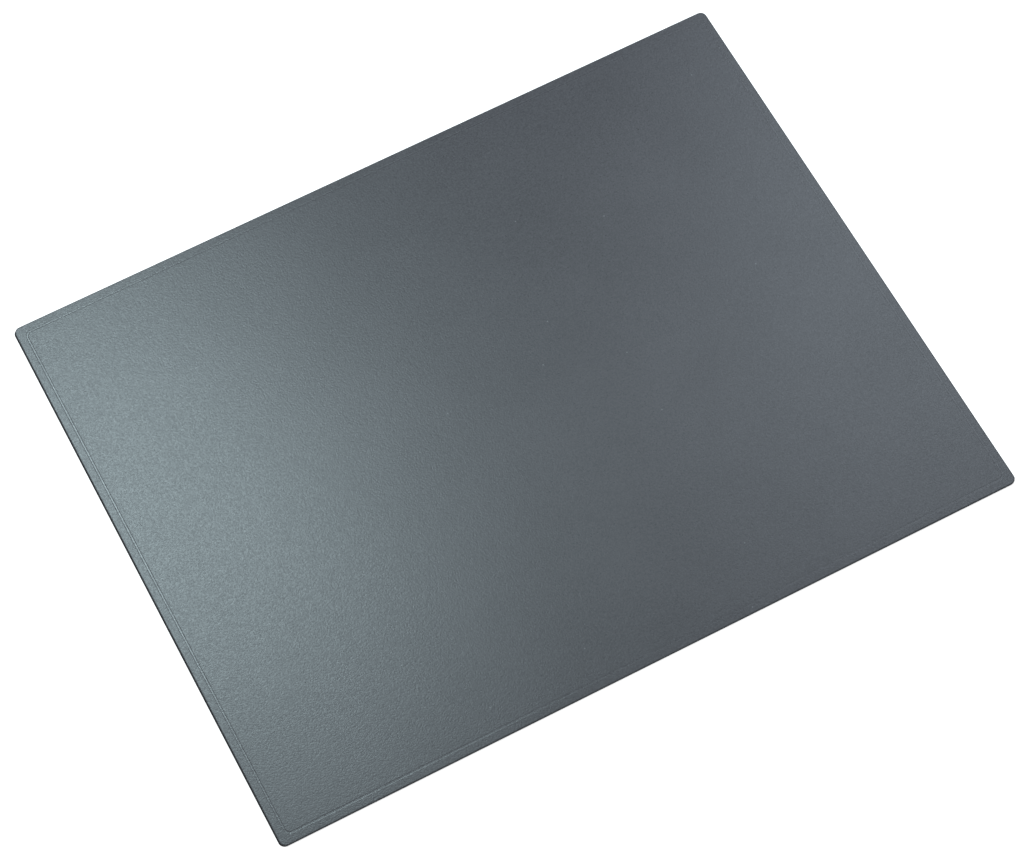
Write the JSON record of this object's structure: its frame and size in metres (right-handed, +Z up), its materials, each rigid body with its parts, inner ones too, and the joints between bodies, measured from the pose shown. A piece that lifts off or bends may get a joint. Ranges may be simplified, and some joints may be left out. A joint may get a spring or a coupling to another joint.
{
  "type": "desk mat",
  "caption": "Thin rectangular desk mat with rounded corners: grained cover with a pressed border groove over foam and a non-slip base; lies flat as a writing and mouse surface.",
  "frame": {"origin": "middle of the mat's footprint, on the desk", "axes": "+X along the long side to the user's right, +Y away from the user, +Z up out of the writing surface"},
  "size_m": [0.65, 0.52, 0.002],
  "materials": {
    "cover_vinyl": "fine matt grain with a soft sheen",
    "hot_melt_film": "smoky film, hidden between the layers",
    "core_foam": "fine closed-cell foam, matt",
    "non_slip_base": "matt rubber with a fine grip texture"
  },
  "bodies": {
    "root": {"cover_sheet": "cover_vinyl", "cover_adhesive": "hot_melt_film", "foam_core": "core_foam", "base_adhesive": "hot_melt_film", "base_sheet": "non_slip_base"}
  },
  "joints": []
}
